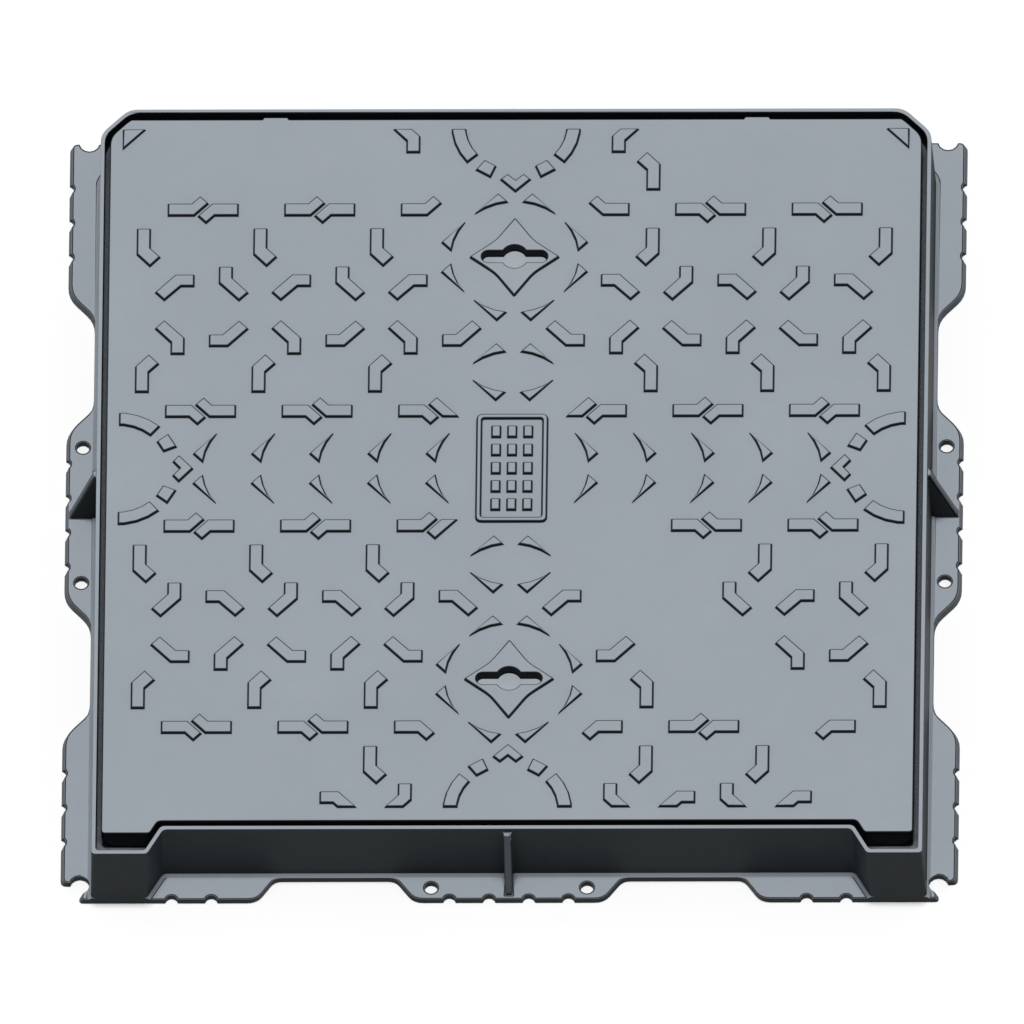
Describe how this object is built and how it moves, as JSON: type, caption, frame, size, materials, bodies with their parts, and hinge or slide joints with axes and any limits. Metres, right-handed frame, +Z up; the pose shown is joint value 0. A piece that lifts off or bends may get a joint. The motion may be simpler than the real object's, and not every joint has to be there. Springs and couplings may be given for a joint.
{
  "type": "manhole cover with frame",
  "caption": "Square cast-iron access cover with raised anti-slip tread, loose in a flanged frame, with keyholes closed from below by sprung shutters.",
  "frame": {"origin": "on the ground plane under the middle of the frame", "axes": "+Z up through the tread, +Y towards the rear edge, +X along the front edge to the right"},
  "size_m": [0.898, 0.887, 0.103],
  "materials": {
    "cast_iron": "fine-grained casting with a grey coating, lighter on top",
    "elastomer": "matt moulded strip",
    "pot_plastic": "matt moulded",
    "shutter_plastic": "matt moulded",
    "stainless_steel": "drawn and bright"
  },
  "bodies": {
    "frame": {"frame_casting": "cast_iron", "seat_strip_front": "elastomer", "seat_strip_left": "elastomer", "seat_strip_rear": "elastomer", "seat_strip_right": "elastomer"},
    "cover": {"cover_casting": "cast_iron", "key_pot_front": "pot_plastic", "key_pot_rear": "pot_plastic", "key_pot_seal_front": "elastomer", "key_pot_seal_rear": "elastomer", "pot_screw_front_1": "stainless_steel", "pot_screw_front_2": "stainless_steel", "pot_screw_front_3": "stainless_steel", "pot_screw_front_4": "stainless_steel", "pot_screw_rear_1": "stainless_steel", "pot_screw_rear_2": "stainless_steel", "pot_screw_rear_3": "stainless_steel", "pot_screw_rear_4": "stainless_steel", "shutter_spring_front": "stainless_steel", "shutter_spring_rear": "stainless_steel"},
    "shutter_front": {"key_shutter_front": "shutter_plastic"},
    "shutter_rear": {"key_shutter_rear": "shutter_plastic"}
  },
  "joints": [
    {"name": "cover_lift", "type": "slide", "parent": "frame", "child": "cover", "axis": [0, 0, 1], "range_m": [0, 0.15]},
    {"name": "shutter_front_push", "type": "slide", "parent": "cover", "child": "shutter_front", "axis": [0, 0, -1], "range_m": [0, 0.018], "stiffness_N_per_m": 300, "springref_m": -0.02, "deforming": ["shutter_spring_front"]},
    {"name": "shutter_rear_push", "type": "slide", "parent": "cover", "child": "shutter_rear", "axis": [0, 0, -1], "range_m": [0, 0.018], "stiffness_N_per_m": 300, "springref_m": -0.02, "deforming": ["shutter_spring_rear"]}
  ]
}
